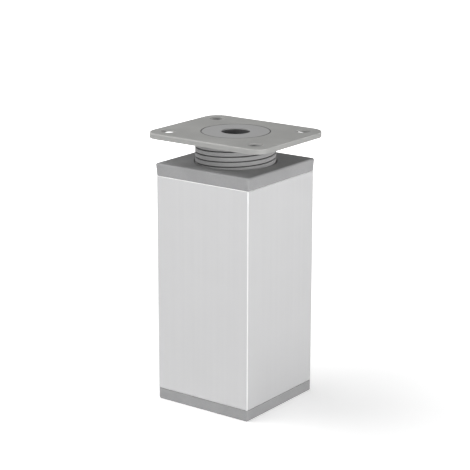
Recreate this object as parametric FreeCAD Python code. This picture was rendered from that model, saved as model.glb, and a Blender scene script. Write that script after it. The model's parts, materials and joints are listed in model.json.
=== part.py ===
import FreeCAD, Part
import os

# Adjustable cabinet leg: a square aluminium tube between two moulded caps, and a moulded screw
# under a mounting plate that turns in the top cap to set the height.
# Millimetres, +Z up. The origin is the middle of the foot's underside, on the floor, and the
# long side of the mounting plate lies along X.

Vector = FreeCAD.Vector
UP = Vector(0, 0, 1)
MIDDLE = Vector(0, 0, 0)

# Tube: extruded and sawn to length, its outer end edges broken
tube_width = 40.4
tube_wall = 1.2
tube_length = 80.5
tube_corner = 0.35
tube_end_bevel = 0.25

# Plugs: the hollow squares of both caps that push into the tube
plug_play = 0.15
plug_wall = 1.8
plug_corner = 1.0
plug_lead_in = 0.7
crush_rib_width = 1.1
crush_rib_offset = 9.0

# Upright corners of both caps
cap_corner = 0.6

# Foot cap
foot_flange = 4.2
foot_edge = 0.45
foot_floor = 2.0
foot_plug = 12.0
foot_rib = 1.6
foot_rib_height = 5.0

# Top cap, with the nut in a sleeve that is moulded into its plug
cap_flange = 4.5
cap_flare = 0.3
cap_edge = 0.35
cap_roof = 2.6
cap_plug = 12.0
cap_rib = 1.6
nut_wall = 4.2
nut_depth = 10.0
nut_thread = 6.0
nut_mouth = 0.4
sleeve_wall = 2.6

# Thread of the stem and the nut
thread_depth = 0.7
thread_play = 0.12

# Height setting: how far the plate stands over the top cap here, and how far it can still rise
raised = 8.8
rise_left = 10.0
stop_gap = 0.4

# Threaded stem
shoulder = 2.1
bore_radius = 5.3
bore_edge = 0.3
boss_wall = 2.7
boss_length = 8.0
head_depth = 6.0
stem_wall = 2.7
stem_ribs = 6
stem_rib = 1.6
stem_rib_length = 5.0
pilot_play = 0.1
pilot_lead_in = 0.6
stem_end = 2.0

# Stop ring, snapped into a seat near the stem's lower end
ring_thickness = 1.4
ring_width = 3.4
ring_seat_depth = 1.1
ring_play = 0.05
ring_opening = 50.0

# Mounting plate, pressed from sheet with its rim turned down
plate_length = 51.0
plate_width = 42.4
plate_sheet = 0.8
plate_rim = 2.0
plate_corner = 6.0
plate_edge = 0.45
screw_hole_radius = 2.7
screw_inset_x = 6.3
screw_inset_y = 6.7
spigot_play = 0.08

# Heights above the floor
tube_bottom = foot_flange
tube_top = tube_bottom + tube_length
cap_top = tube_top + cap_flange
plate_bottom = cap_top + raised
plate_top = plate_bottom + plate_rim
plate_seat = plate_top - plate_sheet
nut_bottom = cap_top - nut_depth
thread_bottom = cap_top - nut_thread - rise_left
ring_top = nut_bottom - stop_gap - rise_left
ring_bottom = ring_top - ring_thickness
stem_bottom = ring_bottom - ring_play - stem_end
boss_bottom = plate_top - head_depth - boss_length
head_bottom = plate_top - head_depth

# Radii and half widths
tube_inside = tube_width / 2 - tube_wall
plug_half = tube_inside - plug_play
core_half = plug_half - plug_wall
thread_radius = plug_half - nut_wall - thread_play
root_radius = thread_radius - thread_depth
nut_radius = thread_radius + thread_play
sleeve_radius = nut_radius + sleeve_wall
spigot_radius = thread_radius - shoulder
pilot_radius = root_radius - pilot_play
hollow_radius = root_radius - stem_wall
boss_radius = bore_radius + boss_wall
ring_seat_radius = pilot_radius - ring_seat_depth
ring_inner = ring_seat_radius + ring_play
ring_outer = ring_inner + ring_width

# Middles of the screw holes, measured from the middle of the plate
screw_x = plate_length / 2 - screw_inset_x
screw_y = plate_width / 2 - screw_inset_y

# Cutting shapes run this far past the face that they open, and joined ones this far into their neighbour
spare = 0.5


def rounded_rectangle(length, width, corner, z):
    """A closed level outline at height z with round corners."""
    x = length / 2 - corner
    y = width / 2 - corner
    arcs = []
    for quarter, (side_x, side_y) in enumerate([(1, 1), (-1, 1), (-1, -1), (1, -1)]):
        middle = Vector(side_x * x, side_y * y, z)
        arcs.append(Part.makeCircle(corner, middle, UP, 90 * quarter, 90 * quarter + 90))
    edges = []
    for arc, following in zip(arcs, arcs[1:] + arcs[:1]):
        end = arc.valueAt(arc.LastParameter)
        edges += [arc, Part.makeLine(end, following.valueAt(following.FirstParameter))]
    return Part.Wire(edges)


def slab(length, width, corner, bottom, top):
    """A block with round upright corners, centred on the axis."""
    outline = rounded_rectangle(length, width, corner, bottom)
    return Part.Face(outline).extrude(UP * (top - bottom))


def bar(length, width, bottom, top, angle=0.0):
    """A plain bar laid across the axis and turned about it."""
    box = Part.makeBox(length, width, top - bottom, Vector(-length / 2, -width / 2, bottom))
    box.rotate(MIDDLE, UP, angle)
    return box


def cylinder(radius, bottom, top):
    return Part.makeCylinder(radius, top - bottom, Vector(0, 0, bottom))


def turned(outline):
    """A solid of revolution about Z from (radius, height) points."""
    points = [Vector(radius, 0, height) for radius, height in outline + outline[:1]]
    return Part.Face(Part.makePolygon(points)).revolve(MIDDLE, UP, 360)


def level_edges(shape, z):
    """The edges of a shape that lie level at height z."""
    return [e for e in shape.Edges if abs(e.BoundBox.ZMin - z) < 1e-6 and abs(e.BoundBox.ZMax - z) < 1e-6]


def plug(length):
    """The block of a cap's plug, upright on z = 0, with crush ribs and a led-in free end."""
    block = slab(2 * plug_half, 2 * plug_half, plug_corner, 0, length)
    block = block.makeChamfer(plug_lead_in, level_edges(block, length))
    ribs = []
    for offset in (-crush_rib_offset, crush_rib_offset):
        for angle in (0, 90):
            rib = bar(2 * tube_inside, crush_rib_width, 0, length - plug_lead_in)
            rib.translate(Vector(0, offset, 0))
            rib.rotate(MIDDLE, UP, angle)
            ribs.append(rib)
    return block.fuse(ribs)


def make_tube():
    outer = slab(tube_width, tube_width, tube_corner, tube_bottom, tube_top)
    ends = level_edges(outer, tube_bottom) + level_edges(outer, tube_top)
    outer = outer.makeChamfer(tube_end_bevel, ends)
    hollow = slab(2 * tube_inside, 2 * tube_inside, tube_corner, tube_bottom - spare, tube_top + spare)
    return outer.cut(hollow)


def make_foot_cap():
    flange = slab(tube_width, tube_width, cap_corner, 0, tube_bottom)
    flange = flange.makeChamfer(foot_edge, level_edges(flange, 0))
    block = plug(foot_plug)
    block.translate(UP * tube_bottom)
    core_top = tube_bottom + foot_plug + spare
    core = slab(2 * core_half, 2 * core_half, plug_corner, foot_floor, core_top)
    for angle in (0, 90):
        rib = bar(2 * plug_half, foot_rib, foot_floor - spare, foot_floor + foot_rib_height, angle)
        core = core.cut(rib)
    return flange.fuse(block).cut(core).removeSplitter()


def make_top_cap():
    flare = 2 * cap_flare
    lower = rounded_rectangle(tube_width, tube_width, cap_corner, tube_top)
    upper = rounded_rectangle(tube_width + flare, tube_width + flare, cap_corner, cap_top)
    flange = Part.makeLoft([lower, upper], True, True)
    flange = flange.makeChamfer(cap_edge, level_edges(flange, cap_top))
    block = plug(cap_plug)
    block.rotate(MIDDLE, Vector(1, 0, 0), 180)
    block.translate(UP * tube_top)

    core_bottom = tube_top - cap_plug - spare
    core = slab(2 * core_half, 2 * core_half, plug_corner, core_bottom, cap_top - cap_roof)
    core = core.cut(cylinder(sleeve_radius, nut_bottom, cap_top))
    for angle in (45, 135):
        core = core.cut(bar(3 * plug_half, cap_rib, nut_bottom, cap_top, angle))

    nut = turned([
        (0, nut_bottom - spare),
        (nut_radius, nut_bottom - spare),
        (nut_radius, cap_top - nut_mouth),
        (nut_radius + nut_mouth + spare, cap_top + spare),
        (0, cap_top + spare),
    ])
    return flange.fuse(block).cut([core, nut])


def make_threaded_stem():
    seat_top = ring_top + ring_play
    seat_bottom = ring_bottom - ring_play
    stem = turned([
        (0, stem_bottom),
        (pilot_radius - pilot_lead_in, stem_bottom),
        (pilot_radius, stem_bottom + pilot_lead_in),
        (pilot_radius, seat_bottom),
        (ring_seat_radius, seat_bottom),
        (ring_seat_radius, seat_top),
        (pilot_radius, seat_top),
        (pilot_radius, thread_bottom),
        (thread_radius, thread_bottom),
        (thread_radius, plate_seat),
        (spigot_radius, plate_seat),
        (spigot_radius, plate_top),
        (0, plate_top),
    ])

    hollow = cylinder(hollow_radius, stem_bottom - spare, head_bottom)
    hollow = hollow.cut(cylinder(boss_radius, boss_bottom, head_bottom + spare))
    for number in range(stem_ribs):
        rib = Part.makeBox(root_radius, stem_rib, stem_rib_length + spare)
        rib.translate(Vector(bore_radius, -stem_rib / 2, head_bottom - stem_rib_length))
        rib.rotate(MIDDLE, UP, number * 360 / stem_ribs)
        hollow = hollow.cut(rib)
    bore = turned([
        (0, boss_bottom - spare),
        (bore_radius, boss_bottom - spare),
        (bore_radius, plate_top - bore_edge),
        (bore_radius + bore_edge + spare, plate_top + spare),
        (0, plate_top + spare),
    ])
    return stem.cut([hollow, bore])


def make_stop_ring():
    """An open ring: a hoop with a gap, so that it can be spread over the stem's end."""
    around = 360 - ring_opening
    hoop = Part.makeCylinder(ring_outer, ring_thickness, Vector(0, 0, ring_bottom), UP, around)
    hoop.rotate(MIDDLE, UP, ring_opening / 2)
    return hoop.cut(cylinder(ring_inner, ring_bottom - spare, ring_top + spare))


def make_mounting_plate():
    plate = slab(plate_length, plate_width, plate_corner, plate_bottom, plate_top)
    plate = plate.makeFillet(plate_edge, level_edges(plate, plate_top))
    wall = 2 * plate_sheet
    inside = slab(
        plate_length - wall, plate_width - wall, plate_corner - plate_sheet, plate_bottom - spare, plate_seat)
    plate = plate.cut(inside)
    holes = [cylinder(spigot_radius + spigot_play, plate_bottom - spare, plate_top + spare)]
    for x in (-screw_x, screw_x):
        for y in (-screw_y, screw_y):
            hole = cylinder(screw_hole_radius, plate_bottom - spare, plate_top + spare)
            hole.translate(Vector(x, y, 0))
            holes.append(hole)
    return plate.cut(holes)


pieces = {
    "foot_cap": make_foot_cap(),
    "tube": make_tube(),
    "top_cap": make_top_cap(),
    "stop_ring": make_stop_ring(),
    "threaded_stem": make_threaded_stem(),
    "mounting_plate": make_mounting_plate(),
}

os.makedirs("parts", exist_ok=True)
for name, shape in pieces.items():
    solid = shape.Solids[0]
    solid.exportStep(f"parts/{name}.step")
    print(f"{name}: {len(shape.Solids)} solid, {solid.Volume:.0f} mm3, valid {solid.isValid()}")
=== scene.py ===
import json
import math

import bmesh
import bpy
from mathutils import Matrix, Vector


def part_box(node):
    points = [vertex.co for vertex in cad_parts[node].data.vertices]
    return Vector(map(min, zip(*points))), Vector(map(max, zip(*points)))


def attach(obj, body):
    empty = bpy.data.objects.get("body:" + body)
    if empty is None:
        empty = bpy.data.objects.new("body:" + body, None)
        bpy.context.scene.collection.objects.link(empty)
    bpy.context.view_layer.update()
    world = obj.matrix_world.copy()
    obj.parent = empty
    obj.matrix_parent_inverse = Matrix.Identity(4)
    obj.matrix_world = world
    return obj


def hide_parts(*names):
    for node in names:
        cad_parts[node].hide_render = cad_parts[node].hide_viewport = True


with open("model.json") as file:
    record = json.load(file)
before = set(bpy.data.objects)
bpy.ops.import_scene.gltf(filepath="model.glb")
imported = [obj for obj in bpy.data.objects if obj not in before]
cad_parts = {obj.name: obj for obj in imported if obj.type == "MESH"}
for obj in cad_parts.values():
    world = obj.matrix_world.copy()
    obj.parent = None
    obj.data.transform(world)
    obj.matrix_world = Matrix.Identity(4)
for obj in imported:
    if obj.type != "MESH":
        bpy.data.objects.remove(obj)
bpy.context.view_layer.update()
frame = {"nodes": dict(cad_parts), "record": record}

bl_info = {
    "name": "Adjustable Cabinet Leg",
    "version": (1, 0, 0),
    "blender": (4, 5, 0),
    "location": "3D View > Sidebar > Cabinet Leg",
    "description": "Dresses an adjustable square cabinet leg: its threads, finishes and studio",
    "category": "Object",
}

MM = 0.001
STEM_LOW, STEM_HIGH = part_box("threaded_stem")
PLATE_LOW, PLATE_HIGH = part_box("mounting_plate")
CAP_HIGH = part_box("top_cap")[1]
TUBE_LOW, TUBE_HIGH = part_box("tube")
RING_LOW, RING_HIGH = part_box("stop_ring")
MOUNTS = {mount["name"]: mount for mount in frame["record"]["mounts"]}
BORE_RADIUS = MOUNTS["stem_bore"]["dims"]["r_mm"] * MM

WHITE = (1.0, 1.0, 1.0, 1.0)
FULL_TURN = 2 * math.pi

# Edges that turn by more than this stay sharp, and points or edges under these sizes are closed up
SHARP_FROM = math.radians(32)
SAME_POINT = 0.002 * MM
SLIVER = 0.001 * MM

# Places of the colour form's sockets on a Mix node, where the other forms have sockets of the same names
MIX_FACTOR, MIX_FIRST, MIX_SECOND, MIX_RESULT = 0, 6, 7, 2


# Node trees

class Value:
    """A socket whose arithmetic adds Math nodes to its tree."""

    def __init__(self, tree, socket):
        self.tree = tree
        self.socket = socket

    def of(self, name):
        """Another output of the same node."""
        return Value(self.tree, self.socket.node.outputs[name])

    def math(self, operation, *operands):
        """A Math node on values or numbers."""
        return self.tree.node("ShaderNodeMath", {"operation": operation}, dict(enumerate(operands)))

    def __add__(self, other):
        return self.math("ADD", self, other)

    def __sub__(self, other):
        return self.math("SUBTRACT", self, other)

    def __mul__(self, other):
        return self.math("MULTIPLY", self, other)

    def __truediv__(self, other):
        return self.math("DIVIDE", self, other)

    def __rsub__(self, other):
        return self.math("SUBTRACT", other, self)

    def __rtruediv__(self, other):
        return self.math("DIVIDE", other, self)

    def __abs__(self):
        return self.math("ABSOLUTE", self)

    __radd__ = __add__
    __rmul__ = __mul__


class Tree:
    """A node tree that is filled by one method."""

    def __init__(self, nodes, links):
        self.nodes = nodes
        self.links = links

    def node(self, kind, settings=None, inputs=None):
        """Adds a node, makes its settings, then fills its sockets with values or links."""
        made = self.nodes.new(kind)
        for name, value in (settings or {}).items():
            setattr(made, name, value)
        for name, value in (inputs or {}).items():
            if isinstance(value, Value):
                self.links.new(value.socket, made.inputs[name])
            else:
                made.inputs[name].default_value = value
        outputs = [socket for socket in made.outputs if socket.enabled]
        return Value(self, outputs[0]) if outputs else None


class Shader(Tree):
    """A new material's tree. Its lengths are in millimetres."""

    def __init__(self, name):
        self.material = bpy.data.materials.new(name)
        self.material.use_nodes = True
        self.material.node_tree.nodes.clear()
        super().__init__(self.material.node_tree.nodes, self.material.node_tree.links)
        self.place = self.node("ShaderNodeTexCoord").of("Object")

    def coordinates(self):
        """X, Y and Z of the surface."""
        parts = self.node("ShaderNodeSeparateXYZ", inputs={"Vector": self.place})
        return [parts.of(axis) / MM for axis in "XYZ"]

    def noise(self, across, depth=2.0, rough=0.5, stretch=(1, 1, 1), offset=0.0):
        """Noise whose features are `across` wide, and longer where stretch is over 1."""
        scale = [1 / (across * MM * part) for part in stretch]
        spot = self.node("ShaderNodeMapping", inputs={
            "Vector": self.place, "Location": (offset, offset, offset), "Scale": scale})
        return self.node("ShaderNodeTexNoise", {"noise_dimensions": "3D"}, {
            "Vector": spot, "Scale": 1.0, "Detail": depth, "Roughness": rough})

    def rise(self, value, low, high, start=0.0, end=1.0):
        """A smooth step from start, where the value is low or less, to end, where it is high or more."""
        return self.node("ShaderNodeMapRange", {"clamp": True, "interpolation_type": "SMOOTHSTEP"}, {
            "Value": value, "From Min": low, "From Max": high, "To Min": start, "To Max": end})

    def fall(self, value, low, high):
        """A smooth step from 1, where the value is low or less, down to 0."""
        return self.rise(value, low, high, 1.0, 0.0)

    def spread(self, noise, low=0.3, high=0.7):
        """Noise stretched to fill 0 to 1, because it seldom leaves the middle of its range."""
        return self.rise(noise, low, high)

    def mix(self, factor, first, second):
        """A blend of two colours."""
        made = self.node("ShaderNodeMix", {"data_type": "RGBA"}, {
            MIX_FACTOR: factor, MIX_FIRST: first, MIX_SECOND: second})
        return Value(self, made.socket.node.outputs[MIX_RESULT])

    def bump(self, height, depth, strength, under=None):
        """Relief that is `depth` high where height goes from 0 to 1."""
        inputs = {"Height": height, "Distance": depth * MM, "Strength": strength}
        if under:
            inputs["Normal"] = under
        return self.node("ShaderNodeBump", inputs=inputs)

    def finish(self, **sockets):
        """Ends the material in a principled shader with these socket values."""
        inputs = {name.replace("_", " "): value for name, value in sockets.items()}
        shader = self.node("ShaderNodeBsdfPrincipled", inputs=inputs)
        self.node("ShaderNodeOutputMaterial", inputs={"Surface": shader})
        return self.material


def swing(noise, amount):
    """Noise that swings evenly round 0, over a range of `amount` at most."""
    return (noise - 0.5) * amount


def from_axis(x, y):
    """How far a point is from the leg's upright axis."""
    return x.math("SQRT", x * x + y * y)


def corner_reach(x, y):
    """The smaller of the distances from the two middle planes, which is largest at the corners."""
    return x.math("MINIMUM", abs(x), abs(y))


def tone(colour, amount):
    """A colour made lighter or darker, with its alpha."""
    return tuple(min(1.0, part * amount) for part in colour) + (1.0,)


# Finishes

def moulded_plastic(name, colour, grain, roughness, seed, wear_and_painted_light):
    """Matte moulded plastic: a spark-eroded grain and a faint flow mottle, then its piece's own marks: wear
    on the caps, painted shade and light on the stem.
    """
    shader = Shader(name)
    flow = shader.noise(across=9.0, depth=3.0, offset=seed)
    speck = shader.noise(across=0.5, offset=seed + 3.0)
    fine = shader.noise(across=grain, depth=1.5, rough=0.55, offset=seed + 11.0)
    body = shader.mix(shader.spread(flow), tone(colour, 0.95), tone(colour, 1.05))
    body = shader.mix(shader.spread(speck, 0.25, 0.75) * 0.35, body, tone(colour, 0.86))
    body = wear_and_painted_light(shader, body, colour)
    shine = roughness + swing(flow, 0.14) + swing(speck, 0.12)
    relief = shader.bump(shader.spread(fine, 0.25, 0.75), depth=0.012, strength=0.55)
    relief = shader.bump(flow, depth=0.03, strength=0.25, under=relief)
    return shader.finish(Base_Color=body, Roughness=shine, Normal=relief, Specular_IOR_Level=0.42)


def worn_corners(shader, body, colour):
    """Paler scuffs along the upright corners of a cap."""
    scuff_width = 1.3
    x, y, _ = shader.coordinates()
    half = TUBE_HIGH.x / MM
    corner = shader.rise(corner_reach(x, y), half - scuff_width, half)
    scuffs = corner * shader.spread(shader.noise(across=2.6, offset=8.0), 0.35, 0.7)
    return shader.mix(scuffs * 0.35, body, tone(colour, 1.2))


def stem_painted_shade_and_light(shader, body, colour):
    """Painted shade in the thread's grooves, down the bore and in the seam round the head, and painted light
    that makes the head face paler.
    """
    painted_light_depth, groove_shade_depth, bore_shade_depth = 0.4, 0.45, 2.4
    x, y, z = shader.coordinates()
    radius = from_axis(x, y)
    crest, top = STEM_HIGH.x / MM, STEM_HIGH.z / MM
    rim = crest - settings()[0].shoulder / MM
    bore = BORE_RADIUS / MM
    face = shader.rise(z, top - painted_light_depth - 0.1, top - painted_light_depth)
    groove_shade = shader.fall(radius, crest - groove_shade_depth, crest - 0.12) * (1 - face)
    wall = shader.fall(radius, bore + 0.1, bore + 0.4)
    deep_shade = shader.fall(z, top - bore_shade_depth, top - bore_shade_depth / 2)
    seam_shade = face * shader.rise(radius, rim - 0.4, rim - 0.1)
    # Painted light: the head's top face is made paler.
    body = shader.mix(face * 0.8, body, tone(colour, 1.3))
    # Painted shade: the thread's grooves are darkened.
    body = shader.mix(groove_shade * 0.92, body, tone(colour, 0.22))
    # Painted shade: the bore's wall is darkened further down.
    body = shader.mix(wall * deep_shade * 0.4, body, tone(colour, 0.5))
    # Painted shade in the seam between the head and the plate.
    return shader.mix(seam_shade * 0.9, body, tone(colour, 0.25))


def anodised_tube(name, colour, roughness):
    """Satin anodised aluminium: faint die lines along the tube, a cloudy sheen, and painted highlights that
    whiten its cut ends and upright corners.
    """
    cut_highlight, cut_highlight_inner, corner_highlight, corner_highlight_inner = 0.3, 0.2, 0.33, 0.22
    shader = Shader(name)
    x, y, z = shader.coordinates()
    lines = shader.noise(across=0.16, depth=3.0, rough=0.65, stretch=(1, 1, 900))
    bands = shader.noise(across=2.2, stretch=(1, 1, 60), offset=5.0)
    cloud = shader.noise(across=14.0, depth=3.0, offset=2.0)
    mist = shader.noise(across=0.12, depth=1.0, offset=9.0)
    half, low, high = TUBE_HIGH.x / MM, TUBE_LOW.z / MM, TUBE_HIGH.z / MM
    # Masks of the painted highlight on the cut ends and upright corners
    lower = shader.fall(z, low + cut_highlight_inner, low + cut_highlight)
    upper = shader.rise(z, high - cut_highlight, high - cut_highlight_inner)
    corner = shader.rise(corner_reach(x, y), half - corner_highlight, half - corner_highlight_inner)
    edge = corner.math("MINIMUM", lower + upper + corner, 1.0)
    body = shader.mix(shader.spread(bands), tone(colour, 0.99), tone(colour, 1.01))
    body = shader.mix(shader.spread(lines, 0.35, 0.65) * 0.05, body, tone(colour, 0.86))
    body = shader.mix(shader.spread(cloud) * 0.5, body, tone(colour, 1.03))
    # Painted highlight: the cut ends and upright corners are whitened.
    body = shader.mix(edge, body, tone(WHITE[:3], 0.96))
    shine = roughness + swing(cloud, 0.1) + swing(lines, 0.08) + swing(mist, 0.06) - edge * 0.2
    relief = shader.bump(lines, depth=0.004, strength=0.15)
    relief = shader.bump(mist, depth=0.005, strength=0.4, under=relief)
    return shader.finish(Base_Color=body, Roughness=shine, Normal=relief, Metallic=0.55)


def coated_plate(name, colour, roughness):
    """A matte grey coating on pressed steel: a pebbled skin, with painted shade in a line round its upper
    edge, down its rim and in the seam round the stem.
    """
    shade_line_low, shade_line_high, rim_shade_high, seam_shade_width = 0.2, 0.06, 0.3, 0.3
    shader = Shader(name)
    x, y, z = shader.coordinates()
    skin = shader.noise(across=0.55)
    cloud = shader.noise(across=11.0, depth=3.0, offset=4.0)
    grit = shader.noise(across=0.18, depth=1.0, offset=6.0)
    top = PLATE_HIGH.z / MM
    hole = (STEM_HIGH.x - settings()[0].shoulder) / MM
    over = shader.fall(z, top - shade_line_high, top - shade_line_high / 3)
    shade_line = shader.rise(z, top - shade_line_low - 0.06, top - shade_line_low) * over
    rim = shader.fall(z, top - 2 * rim_shade_high, top - rim_shade_high)
    seam_shade = shader.fall(from_axis(x, y), hole + seam_shade_width / 3, hole + seam_shade_width)
    body = shader.mix(shader.spread(cloud), tone(colour, 0.96), tone(colour, 1.04))
    body = shader.mix(shader.spread(grit) * 0.25, body, tone(colour, 0.86))
    # Painted shade: the rim below the top is darkened.
    body = shader.mix(rim * 0.8, body, tone(colour, 0.77))
    # Painted shade: a dark line round the upper edge.
    body = shader.mix(shade_line * 0.25, body, tone(colour, 0.5))
    # Painted shade in the seam round the stem's head.
    body = shader.mix(seam_shade * 0.85, body, tone(colour, 0.25))
    shine = roughness + swing(cloud, 0.14) + swing(skin, 0.12)
    relief = shader.bump(skin, depth=0.014, strength=0.4)
    relief = shader.bump(grit, depth=0.006, strength=0.35, under=relief)
    return shader.finish(Base_Color=body, Roughness=shine, Normal=relief, Metallic=0.25)


def spring_steel(name, colour, roughness):
    """Drawn spring steel: dark, with fine rolling lines."""
    shader = Shader(name)
    rolled = shader.noise(across=0.14, stretch=(30, 1, 1))
    stain = shader.noise(across=3.5, depth=3.0, offset=3.0)
    body = shader.mix(shader.spread(stain, 0.35, 0.7), tone(colour, 1.05), tone(colour, 0.82))
    shine = roughness + swing(rolled, 0.2)
    relief = shader.bump(rolled, depth=0.006, strength=0.4)
    return shader.finish(Base_Color=body, Roughness=shine, Normal=relief, Metallic=1.0)


def plain_floor(name, colour, lift):
    """A pale matte floor that the camera sees as white, with the leg's shade kept near its middle."""
    shade_reach, white_reach = 60, 400
    far_lift, mirrored_share = 0.6, 0.4
    shader = Shader(name)
    path = shader.node("ShaderNodeLightPath")
    x, y, _ = shader.coordinates()
    far = shader.rise(from_axis(x, y), shade_reach, white_reach)
    seen = path.of("Is Camera Ray") * (far * far_lift + lift)
    mirrored = path.of("Is Glossy Ray") * (lift * mirrored_share)
    base = shader.node("ShaderNodeBsdfDiffuse", inputs={"Color": colour + (1.0,)})
    glow = shader.node("ShaderNodeEmission", inputs={"Color": WHITE, "Strength": seen + mirrored})
    both = shader.node("ShaderNodeAddShader", inputs={0: base, 1: glow})
    shader.node("ShaderNodeOutputMaterial", inputs={"Surface": both})
    return shader.material


# Geometry Nodes

class Shape(Tree):
    """A new Geometry Nodes tree with named inputs."""

    def __init__(self, name, sizes):
        self.group = bpy.data.node_groups.new(name, "GeometryNodeTree")
        face = self.group.interface
        face.new_socket("Geometry", in_out="INPUT", socket_type="NodeSocketGeometry")
        face.new_socket("Geometry", in_out="OUTPUT", socket_type="NodeSocketGeometry")
        self.keys = {}
        for label in sizes:
            kind = "NodeSocketInt" if isinstance(sizes[label], int) else "NodeSocketFloat"
            self.keys[label] = face.new_socket(label, in_out="INPUT", socket_type=kind).identifier
        super().__init__(self.group.nodes, self.group.links)
        self.sizes = sizes
        self.entry = self.node("NodeGroupInput")

    def size(self, label):
        """A named input of the tree."""
        return self.entry.of(label)

    def join(self, *parts):
        """All the parts as one geometry."""
        made = self.node("GeometryNodeJoinGeometry")
        for part in parts:
            self.links.new(part.socket, made.socket.node.inputs[0])
        return made

    def ring(self, part, count):
        """Equal copies of a part, turned evenly round the leg's axis."""
        spots = self.node("GeometryNodePoints", inputs={"Count": count})
        number = self.node("GeometryNodeInputIndex")
        turn = self.node("ShaderNodeCombineXYZ", inputs={"Z": number * FULL_TURN / count})
        return self.node("GeometryNodeInstanceOnPoints", inputs={
            "Points": spots, "Instance": part, "Rotation": turn})

    def end(self, geometry, material):
        """Ends the tree in Realize Instances and Set Material."""
        real = self.node("GeometryNodeRealizeInstances", inputs={0: geometry})
        faced = self.node("GeometryNodeSetMaterial", inputs={0: real, "Material": material})
        self.node("NodeGroupOutput", inputs={0: faced})

    def mesh_from(self, blank):
        """Runs the tree on an object and gives the object the plain mesh that comes out."""
        modifier = blank.modifiers.new(self.group.name, "NODES")
        modifier.node_group = self.group
        for label, value in self.sizes.items():
            modifier[self.keys[label]] = value
        bpy.context.view_layer.update()
        seen = blank.evaluated_get(bpy.context.evaluated_depsgraph_get())
        mesh = bpy.data.meshes.new_from_object(seen)
        blank.modifiers.remove(modifier)
        blank.data = mesh
        return blank


def new_object(name, mesh):
    """An object at the origin, linked to the scene."""
    made = bpy.data.objects.new(name, mesh)
    bpy.context.scene.collection.objects.link(made)
    return made


def smooth(piece):
    """Smooth shading that breaks at sharp edges."""
    piece.data.polygons.foreach_set("use_smooth", [True] * len(piece.data.polygons))
    piece.data.set_sharp_from_angle(angle=SHARP_FROM)
    piece.data.update()


def face_outwards(piece):
    """Points the faces of a closed mesh outwards."""
    form = bmesh.new()
    form.from_mesh(piece.data)
    bmesh.ops.recalc_face_normals(form, faces=form.faces)
    form.to_mesh(piece.data)
    form.free()


def turned_blank(name, rows, columns):
    """A closed turned skin. Each row gives the radius and height of its ring at an angle."""
    form = bmesh.new()
    rings = []
    for row in rows:
        ring = []
        for column in range(columns + 1):
            angle = FULL_TURN * column / columns
            radius, height = row(angle)
            ring.append(form.verts.new((radius * math.cos(angle), radius * math.sin(angle), height)))
        rings.append(ring)
    for lower, upper in zip(rings, rings[1:] + rings[:1]):
        for column in range(columns):
            form.faces.new((lower[column], lower[column + 1], upper[column + 1], upper[column]))
    bmesh.ops.remove_doubles(form, verts=form.verts, dist=SAME_POINT)
    bmesh.ops.dissolve_degenerate(form, edges=form.edges, dist=SLIVER)
    bmesh.ops.recalc_face_normals(form, faces=form.faces)
    mesh = bpy.data.meshes.new(name)
    form.to_mesh(mesh)
    form.free()
    return new_object(name, mesh)


# Threaded stem

def stem_blank(sizes):
    """The stem before its thread is cut, with rings that follow the thread's slope."""
    columns = 144
    bottom, top = STEM_LOW.z, STEM_HIGH.z
    crest = STEM_HIGH.x
    under_plate = PLATE_HIGH.z - sizes.plate_sheet
    thread_bottom = PLATE_LOW.z - sizes.thread_length
    pilot = crest - sizes.thread_depth - sizes.pilot_step
    seat_low, seat_high = RING_LOW.z - sizes.seat_play, RING_HIGH.z + sizes.seat_play
    seat = pilot - sizes.seat_depth
    bore = BORE_RADIUS
    head = top - sizes.head_depth
    spigot = crest - sizes.shoulder
    lead = sizes.pitch * sizes.starts
    edge = sizes.soft_edge
    ease = sizes.lead_in

    def level(radius, height):
        """A level ring."""
        return lambda angle: (radius, height)

    def sloped(height):
        """A ring that climbs by one lead from its height, within the thread, whose lower end is tapered."""
        def ring(angle):
            z = min(max(height + lead * angle / FULL_TURN, thread_bottom), under_plate)
            return min(crest, pilot + sizes.pilot_step + (z - thread_bottom)), z
        return ring

    rows = [
        level(sizes.hollow_radius + edge, bottom),
        level(pilot - ease, bottom),
        level(pilot, bottom + ease),
        level(pilot, seat_low),
        level(seat, seat_low),
        level(seat, seat_high),
        level(pilot, seat_high),
        level(pilot, thread_bottom),
    ]
    first = PLATE_LOW.z - sizes.first_groove
    wall = [part * MM for part in (0.06, 0.12, 0.18, 0.25, 0.3)]
    steps = [-step for step in reversed(wall)] + [0.0] + wall + [sizes.pitch / 2]
    below = math.ceil((sizes.thread_length + 2 * lead) / sizes.pitch)
    above = math.ceil((sizes.first_groove + lead) / sizes.pitch)
    for number in range(below, -above, -1):
        for step in steps:
            rows.append(sloped(first - number * sizes.pitch + step))
    rows += [
        level(spigot, under_plate),
        level(spigot, top - edge),
        level(spigot - edge, top),
        level(bore + sizes.bore_edge, top),
        level(bore, top - sizes.bore_edge),
        level(bore, head - sizes.boss_length),
        level(sizes.boss_radius, head - sizes.boss_length),
        level(sizes.boss_radius, head),
        level(sizes.hollow_radius, head),
        level(sizes.hollow_radius, bottom + edge),
    ]
    return turned_blank("threaded_stem_cut", rows, columns)


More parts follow.
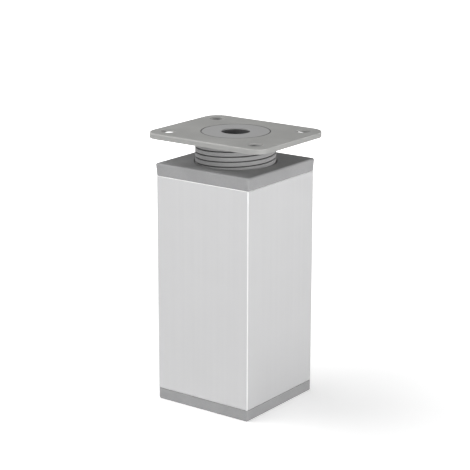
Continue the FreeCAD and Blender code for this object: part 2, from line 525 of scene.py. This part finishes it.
def cut_thread(sizes, material):
    """A tree that cuts the grooves into a turned blank and sets the ribs inside its head."""
    shape = Shape("Cut Thread", {
        "Crest Radius": STEM_HIGH.x,
        "Groove Depth": sizes.thread_depth,
        "Groove Width": sizes.groove_width,
        "Groove Floor": sizes.groove_floor,
        "Pitch": sizes.pitch,
        "Starts": sizes.starts,
        "First Groove": PLATE_LOW.z - sizes.first_groove,
        "Ribs": sizes.ribs,
        "Rib Thickness": sizes.rib_thickness,
        "Rib Height": sizes.rib_height,
        "Rib Inside": sizes.boss_radius - sizes.bite,
        "Rib Outside": sizes.hollow_radius + sizes.bite,
        "Rib Top": STEM_HIGH.z - sizes.head_depth + sizes.bite,
    })
    size = shape.size
    parts = shape.node("ShaderNodeSeparateXYZ", inputs={"Vector": shape.node("GeometryNodeInputPosition")})
    x, y, z = parts.of("X"), parts.of("Y"), parts.of("Z")
    angle = y.math("ARCTAN2", y, x)
    radius = from_axis(x, y)
    rise = size("Pitch") * size("Starts") / FULL_TURN
    turns = (z - angle * rise - size("First Groove")) / size("Pitch")
    away = abs(turns.math("FRACT", turns + 0.5) - 0.5) * size("Pitch")
    cut = shape.node("ShaderNodeMapRange", {"clamp": True}, {
        "Value": away,
        "From Min": size("Groove Floor") / 2,
        "From Max": size("Groove Width") / 2,
        "To Min": size("Groove Depth"),
        "To Max": 0.0,
    })
    wanted = radius.math("MINIMUM", radius, size("Crest Radius") - cut)
    share = wanted / radius
    moved = shape.node("ShaderNodeCombineXYZ", inputs={"X": x * share, "Y": y * share, "Z": z})
    skin = shape.node("GeometryNodeSetPosition", inputs={"Geometry": shape.entry, "Position": moved})

    inside, outside, height = size("Rib Inside"), size("Rib Outside"), size("Rib Height")
    block = shape.node("ShaderNodeCombineXYZ", inputs={
        "X": outside - inside, "Y": size("Rib Thickness"), "Z": height})
    rib = shape.node("GeometryNodeMeshCube", inputs={"Size": block})
    there = shape.node("ShaderNodeCombineXYZ", inputs={
        "X": (inside + outside) / 2, "Z": size("Rib Top") - height / 2})
    rib = shape.node("GeometryNodeTransform", inputs={"Geometry": rib, "Translation": there})
    shape.end(shape.join(skin, shape.ring(rib, size("Ribs"))), material)
    return shape


# Nut thread

# A ridge's strip has a row for each corner of its section: 0 is low at the base, 1 low at the tip, 2 high at
# the tip, 3 high at the base, and 4 closes it on 0. Rows 1 and 2 are within reach of 1.5, and 2 and 3 of 2.5.
RIDGE_ROWS = 5
TIP_ROWS, UPPER_ROWS, ROW_REACH = 1.5, 2.5, 0.8


def nut_ridges(sizes, material):
    """A tree that sweeps the nut's ridges along the thread's slope, one for each start."""
    lead = sizes.pitch * sizes.starts
    bottom = CAP_HIGH.z - sizes.nut_thread + sizes.nut_mouth
    shape = Shape("Nut Ridges", {
        "Ridge Inside": STEM_HIGH.x - sizes.thread_depth + sizes.thread_play,
        "Ridge Outside": STEM_HIGH.x + sizes.thread_play + sizes.bite,
        "Ridge Base": sizes.groove_width - sizes.ridge_play,
        "Ridge Tip": sizes.groove_floor,
        "Lead": lead,
        "Starts": sizes.starts,
        "Turns": (sizes.nut_thread - 2 * sizes.nut_mouth) / lead,
        "Bottom": bottom,
        "Bottom Angle": FULL_TURN * (bottom - PLATE_LOW.z + sizes.first_groove) / lead,
        "Steps": 140,
        "Run-out": 1 / 12,
    })
    size = shape.size
    grid = shape.node("GeometryNodeMeshGrid", inputs={
        "Size X": 1.0, "Size Y": 1.0, "Vertices X": size("Steps"), "Vertices Y": RIDGE_ROWS})
    parts = shape.node("ShaderNodeSeparateXYZ", inputs={"Vector": shape.node("GeometryNodeInputPosition")})
    along = parts.of("X") + 0.5
    row = (parts.of("Y") + 0.5) * (RIDGE_ROWS - 1)
    tip = row.math("COMPARE", row, TIP_ROWS, ROW_REACH)
    upper = row.math("COMPARE", row, UPPER_ROWS, ROW_REACH) - 0.5
    taper = along.math("MINIMUM", 1.0, along.math("MINIMUM", along, 1 - along) / size("Run-out"))
    height = (size("Ridge Base") + (size("Ridge Tip") - size("Ridge Base")) * tip) * upper * taper
    radius = size("Ridge Outside") + (size("Ridge Inside") - size("Ridge Outside")) * tip * taper
    angle = size("Bottom Angle") + along * size("Turns") * FULL_TURN
    moved = shape.node("ShaderNodeCombineXYZ", inputs={
        "X": radius * along.math("COSINE", angle),
        "Y": radius * along.math("SINE", angle),
        "Z": size("Bottom") + along * size("Turns") * size("Lead") + height,
    })
    ridge = shape.node("GeometryNodeSetPosition", inputs={"Geometry": grid, "Position": moved})
    ridge = shape.node("GeometryNodeMergeByDistance", inputs={"Geometry": ridge, "Distance": SAME_POINT})
    shape.end(shape.ring(ridge, size("Starts")), material)
    return shape


# Settings

class LegSizes(bpy.types.PropertyGroup):
    """Sizes that the frame doesn't carry."""

    plate_sheet: bpy.props.FloatProperty(
        name="Plate Sheet", description="Thickness of the sheet that the plate is pressed from",
        default=0.8 * MM, unit="LENGTH")
    thread_length: bpy.props.FloatProperty(
        name="Thread Length", description="Length of the stem's thread below the plate's rim",
        default=24.8 * MM, unit="LENGTH")
    thread_depth: bpy.props.FloatProperty(
        name="Thread Depth", description="Depth of the grooves under the crests",
        default=0.7 * MM, unit="LENGTH")
    thread_play: bpy.props.FloatProperty(
        name="Thread Play", description="Gap between the stem and the nut",
        default=0.12 * MM, unit="LENGTH")
    ridge_play: bpy.props.FloatProperty(
        name="Ridge Play", description="How much narrower a ridge's base is than its groove's mouth",
        default=0.18 * MM, unit="LENGTH")
    pitch: bpy.props.FloatProperty(
        name="Pitch", description="Distance from a groove to the next one",
        default=1.8 * MM, unit="LENGTH")
    starts: bpy.props.IntProperty(
        name="Starts", description="Number of grooves that run side by side", default=2, min=1)
    first_groove: bpy.props.FloatProperty(
        name="First Groove", description="Distance of the top groove under the plate, on the +X side",
        default=1.98 * MM, unit="LENGTH")
    groove_width: bpy.props.FloatProperty(
        name="Groove Width", description="Width of a groove at its mouth",
        default=0.5 * MM, unit="LENGTH")
    groove_floor: bpy.props.FloatProperty(
        name="Groove Floor", description="Width of a groove at its floor",
        default=0.12 * MM, unit="LENGTH")
    nut_thread: bpy.props.FloatProperty(
        name="Nut Thread", description="Height of the thread inside the top cap",
        default=6.0 * MM, unit="LENGTH")
    nut_mouth: bpy.props.FloatProperty(
        name="Nut Mouth", description="Bevel at the mouth of the nut",
        default=0.4 * MM, unit="LENGTH")
    pilot_step: bpy.props.FloatProperty(
        name="Pilot Step", description="How much thinner the stem's end is than the groove floor",
        default=0.1 * MM, unit="LENGTH")
    seat_depth: bpy.props.FloatProperty(
        name="Seat Depth", description="Depth of the stop ring's seat",
        default=1.1 * MM, unit="LENGTH")
    seat_play: bpy.props.FloatProperty(
        name="Seat Play", description="Gap over and under the stop ring",
        default=0.05 * MM, unit="LENGTH")
    shoulder: bpy.props.FloatProperty(
        name="Shoulder", description="Width of the shoulder that the plate rests on",
        default=2.1 * MM, unit="LENGTH")
    head_depth: bpy.props.FloatProperty(
        name="Head Depth", description="Depth of solid plastic at the stem's head",
        default=6.0 * MM, unit="LENGTH")
    hollow_radius: bpy.props.FloatProperty(
        name="Hollow Radius", description="Radius of the hollow inside the stem",
        default=11.13 * MM, unit="LENGTH")
    boss_radius: bpy.props.FloatProperty(
        name="Boss Radius", description="Radius of the boss round the bore",
        default=8.0 * MM, unit="LENGTH")
    boss_length: bpy.props.FloatProperty(
        name="Boss Length", description="Length of the boss under the head",
        default=8.0 * MM, unit="LENGTH")
    ribs: bpy.props.IntProperty(
        name="Ribs", description="Number of ribs between the boss and the wall", default=6, min=1)
    rib_thickness: bpy.props.FloatProperty(
        name="Rib Thickness", description="Thickness of those ribs",
        default=1.6 * MM, unit="LENGTH")
    rib_height: bpy.props.FloatProperty(
        name="Rib Height", description="Height of those ribs",
        default=5.0 * MM, unit="LENGTH")
    lead_in: bpy.props.FloatProperty(
        name="Lead-in", description="Bevel at the stem's lower end",
        default=0.6 * MM, unit="LENGTH")
    soft_edge: bpy.props.FloatProperty(
        name="Soft Edge", description="Bevel on moulded edges",
        default=0.15 * MM, unit="LENGTH")
    bore_edge: bpy.props.FloatProperty(
        name="Bore Edge", description="Bevel at the mouth of the bore",
        default=0.05 * MM, unit="LENGTH")
    bite: bpy.props.FloatProperty(
        name="Bite", description="How far a joined rib or ridge runs into its wall",
        default=0.1 * MM, unit="LENGTH")


class LegFinishes(bpy.types.PropertyGroup):
    """Colours and roughness."""

    cap_colour: bpy.props.FloatVectorProperty(
        name="Cap Colour", description="Colour of the two end caps",
        subtype="COLOR", size=3, min=0.0, max=1.0, default=(0.36, 0.36, 0.365))
    stem_colour: bpy.props.FloatVectorProperty(
        name="Stem Colour", description="Colour of the threaded stem",
        subtype="COLOR", size=3, min=0.0, max=1.0, default=(0.345, 0.345, 0.345))
    tube_colour: bpy.props.FloatVectorProperty(
        name="Tube Colour", description="Colour of the anodised tube",
        subtype="COLOR", size=3, min=0.0, max=1.0, default=(0.665, 0.665, 0.67))
    plate_colour: bpy.props.FloatVectorProperty(
        name="Plate Colour", description="Colour of the plate's coating",
        subtype="COLOR", size=3, min=0.0, max=1.0, default=(0.475, 0.475, 0.462))
    ring_colour: bpy.props.FloatVectorProperty(
        name="Stop Ring Colour", description="Colour of the stop ring",
        subtype="COLOR", size=3, min=0.0, max=1.0, default=(0.4, 0.4, 0.41))
    cap_roughness: bpy.props.FloatProperty(
        name="Cap Roughness", description="Roughness of the caps and the stem",
        subtype="FACTOR", min=0.0, max=1.0, default=0.55)
    tube_roughness: bpy.props.FloatProperty(
        name="Tube Roughness", description="Roughness of the tube",
        subtype="FACTOR", min=0.0, max=1.0, default=0.52)
    plate_roughness: bpy.props.FloatProperty(
        name="Plate Roughness", description="Roughness of the plate",
        subtype="FACTOR", min=0.0, max=1.0, default=0.55)
    ring_roughness: bpy.props.FloatProperty(
        name="Stop Ring Roughness", description="Roughness of the stop ring",
        subtype="FACTOR", min=0.0, max=1.0, default=0.38)


class LegStudio(bpy.types.PropertyGroup):
    """Floor, lamps and camera."""

    floor_colour: bpy.props.FloatVectorProperty(
        name="Floor Colour", description="Colour of the floor",
        subtype="COLOR", size=3, min=0.0, max=1.0, default=(0.88, 0.88, 0.88))
    floor_lift: bpy.props.FloatProperty(
        name="Floor Lift", description="Light that the floor adds for the camera, and partly for gloss",
        min=0.0, default=0.42)
    floor_reach: bpy.props.FloatProperty(
        name="Floor Reach", description="How far the floor reaches from the leg on each side",
        min=0.0, default=4.0, unit="LENGTH")
    sky: bpy.props.FloatProperty(
        name="Sky", description="Strength of the even light from all round", min=0.0, default=0.15)
    top: bpy.props.FloatProperty(
        name="Top Lamp", description="Power of the lamp overhead",
        min=0.0, default=5.5, unit="POWER")
    left: bpy.props.FloatProperty(
        name="Left Lamp", description="Power of the lamp at the front left",
        min=0.0, default=1.8, unit="POWER")
    front: bpy.props.FloatProperty(
        name="Front Lamp", description="Power of the low lamp in front",
        min=0.0, default=1.4, unit="POWER")
    right: bpy.props.FloatProperty(
        name="Right Lamp", description="Power of the low lamp on the right",
        min=0.0, default=4.3, unit="POWER")
    far_left: bpy.props.FloatProperty(
        name="Far Left Lamp", description="Power of the lamp on the far left side",
        min=0.0, default=2.5, unit="POWER")
    far_right: bpy.props.FloatProperty(
        name="Far Right Lamp", description="Power of the lamp behind on the right",
        min=0.0, default=2.3, unit="POWER")
    lens: bpy.props.FloatProperty(
        name="Lens", description="Focal length in millimetres on a 36 mm sensor",
        min=1.0, default=124.603)
    camera_place: bpy.props.FloatVectorProperty(
        name="Camera Place", description="Where the camera stands",
        subtype="TRANSLATION", unit="LENGTH", size=3, default=(0.3377, -0.45863, 0.218676))
    camera_turn: bpy.props.FloatVectorProperty(
        name="Camera Turn", description="How far the camera is turned about each axis",
        subtype="EULER", unit="ROTATION", size=3,
        default=(math.radians(74.5712), math.radians(-0.0999), math.radians(36.4111)))


# Operators

def settings():
    """The sizes, the finishes and the studio's values."""
    scene = bpy.context.scene
    return scene.leg_sizes, scene.leg_finishes, scene.leg_studio


def dress(node, material):
    """Gives a CAD node its material."""
    piece = frame["nodes"][node]
    piece.data.materials.clear()
    piece.data.materials.append(material)


class MakeStudio(bpy.types.Operator):
    """Sets the camera, the lamps and a plain pale floor"""

    bl_idname = "cabinet_leg.make_studio"
    bl_label = "Make Studio"

    def execute(self, context):
        studio = settings()[2]
        scene = context.scene
        scene.view_settings.view_transform = "Standard"

        camera = bpy.data.objects.new("camera", bpy.data.cameras.new("camera"))
        scene.collection.objects.link(camera)
        camera.data.sensor_width = 36.0
        camera.data.lens = studio.lens
        camera.data.clip_start = 0.01
        camera.data.clip_end = 20.0
        camera.location = studio.camera_place
        camera.rotation_euler = studio.camera_turn
        scene.camera = camera

        world = bpy.data.worlds.new("studio")
        world.use_nodes = True
        scene.world = world
        sky = Tree(world.node_tree.nodes, world.node_tree.links)
        world.node_tree.nodes.clear()
        path = sky.node("ShaderNodeLightPath")
        strength = path.of("Is Camera Ray") * (1.0 - studio.sky) + studio.sky
        light = sky.node("ShaderNodeBackground", inputs={"Color": WHITE, "Strength": strength})
        sky.node("ShaderNodeOutputWorld", inputs={"Surface": light})

        form = bmesh.new()
        bmesh.ops.create_grid(form, x_segments=2, y_segments=2, size=studio.floor_reach)
        mesh = bpy.data.meshes.new("floor")
        form.to_mesh(mesh)
        form.free()
        floor = new_object("floor", mesh)
        mesh.materials.append(plain_floor("pale_floor", tuple(studio.floor_colour), studio.floor_lift))

        aim = Vector((0, 0, 0.06))
        for name, power, width, height, place in (
            ("top_lamp", studio.top, 0.6, 0.6, (-0.48, -0.25, 0.93)),
            ("left_lamp", studio.left, 0.4, 0.4, (-0.28, -0.82, 0.3)),
            ("front_lamp", studio.front, 0.5, 0.5, (0.45, -0.75, 0.16)),
            ("right_lamp", studio.right, 0.8, 0.3, (0.88, -0.1, 0.16)),
            ("far_left_lamp", studio.far_left, 0.8, 0.6, (-0.9, 0.2, 0.4)),
            ("far_right_lamp", studio.far_right, 0.8, 0.6, (0.35, 0.92, 0.25)),
        ):
            lamp = bpy.data.lights.new(name, "AREA")
            lamp.shape = "RECTANGLE"
            lamp.energy = power
            lamp.size = width
            lamp.size_y = height
            stand = bpy.data.objects.new(name, lamp)
            scene.collection.objects.link(stand)
            stand.location = place
            stand.rotation_euler = (aim - Vector(place)).to_track_quat("-Z", "Y").to_euler()
        return {"FINISHED"}


class MakeStem(bpy.types.Operator):
    """Turns the stem, cuts its thread and sets its ribs"""

    bl_idname = "cabinet_leg.make_stem"
    bl_label = "Make Threaded Stem"

    def execute(self, context):
        sizes, finishes, _ = settings()
        plastic = moulded_plastic(
            "grey_plastic_stem", tuple(finishes.stem_colour), grain=0.3,
            roughness=finishes.cap_roughness, seed=31.0, wear_and_painted_light=stem_painted_shade_and_light)
        stem = cut_thread(sizes, plastic).mesh_from(stem_blank(sizes))
        smooth(stem)
        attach(stem, "head")
        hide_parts("threaded_stem")
        return {"FINISHED"}


class FinishCaps(bpy.types.Operator):
    """Gives the two end caps their moulded finish, and the top cap its nut thread"""

    bl_idname = "cabinet_leg.finish_caps"
    bl_label = "Finish End Caps"

    def execute(self, context):
        sizes, finishes, _ = settings()
        colour = tuple(finishes.cap_colour)
        plastics = {}
        for node, name, seed in (("foot_cap", "grey_plastic", 1.0), ("top_cap", "grey_plastic_cap", 17.0)):
            plastics[node] = moulded_plastic(
                name, colour, grain=0.34, roughness=finishes.cap_roughness, seed=seed, wear_and_painted_light=worn_corners)
            dress(node, plastics[node])
        blank = new_object("nut_thread", bpy.data.meshes.new("nut_thread"))
        ridges = nut_ridges(sizes, plastics["top_cap"]).mesh_from(blank)
        face_outwards(ridges)
        smooth(ridges)
        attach(ridges, "leg")
        return {"FINISHED"}


class FinishTube(bpy.types.Operator):
    """Gives the tube its satin anodised finish"""

    bl_idname = "cabinet_leg.finish_tube"
    bl_label = "Finish Tube"

    def execute(self, context):
        finishes = settings()[1]
        dress("tube", anodised_tube("satin_aluminium", tuple(finishes.tube_colour), finishes.tube_roughness))
        return {"FINISHED"}


class FinishPlate(bpy.types.Operator):
    """Gives the mounting plate and the stop ring their finishes"""

    bl_idname = "cabinet_leg.finish_plate"
    bl_label = "Finish Plate and Stop Ring"

    def execute(self, context):
        finishes = settings()[1]
        dress("mounting_plate", coated_plate(
            "grey_coated_steel", tuple(finishes.plate_colour), finishes.plate_roughness))
        dress("stop_ring", spring_steel("spring_steel", tuple(finishes.ring_colour), finishes.ring_roughness))
        return {"FINISHED"}


class CabinetLegPanel(bpy.types.Panel):
    """Lists the steps that dress the leg"""

    bl_idname = "VIEW3D_PT_cabinet_leg"
    bl_label = "Cabinet Leg"
    bl_space_type = "VIEW_3D"
    bl_region_type = "UI"
    bl_category = "Cabinet Leg"

    def draw(self, context):
        for step in STEPS:
            self.layout.operator(step.bl_idname)
        for group in (context.scene.leg_sizes, context.scene.leg_finishes, context.scene.leg_studio):
            box = self.layout.box()
            for name in group.bl_rna.properties.keys():
                if name not in ("name", "rna_type"):
                    box.prop(group, name)


STEPS = (MakeStudio, MakeStem, FinishCaps, FinishTube, FinishPlate)
CLASSES = (LegSizes, LegFinishes, LegStudio) + STEPS + (CabinetLegPanel,)


def register():
    for made in CLASSES:
        bpy.utils.register_class(made)
    bpy.types.Scene.leg_sizes = bpy.props.PointerProperty(type=LegSizes)
    bpy.types.Scene.leg_finishes = bpy.props.PointerProperty(type=LegFinishes)
    bpy.types.Scene.leg_studio = bpy.props.PointerProperty(type=LegStudio)


def unregister():
    del bpy.types.Scene.leg_studio
    del bpy.types.Scene.leg_finishes
    del bpy.types.Scene.leg_sizes
    for made in reversed(CLASSES):
        bpy.utils.unregister_class(made)


def main():
    register()
    bpy.ops.cabinet_leg.make_studio()
    bpy.ops.cabinet_leg.make_stem()
    bpy.ops.cabinet_leg.finish_caps()
    bpy.ops.cabinet_leg.finish_tube()
    bpy.ops.cabinet_leg.finish_plate()


if __name__ == "__main__":
    main()
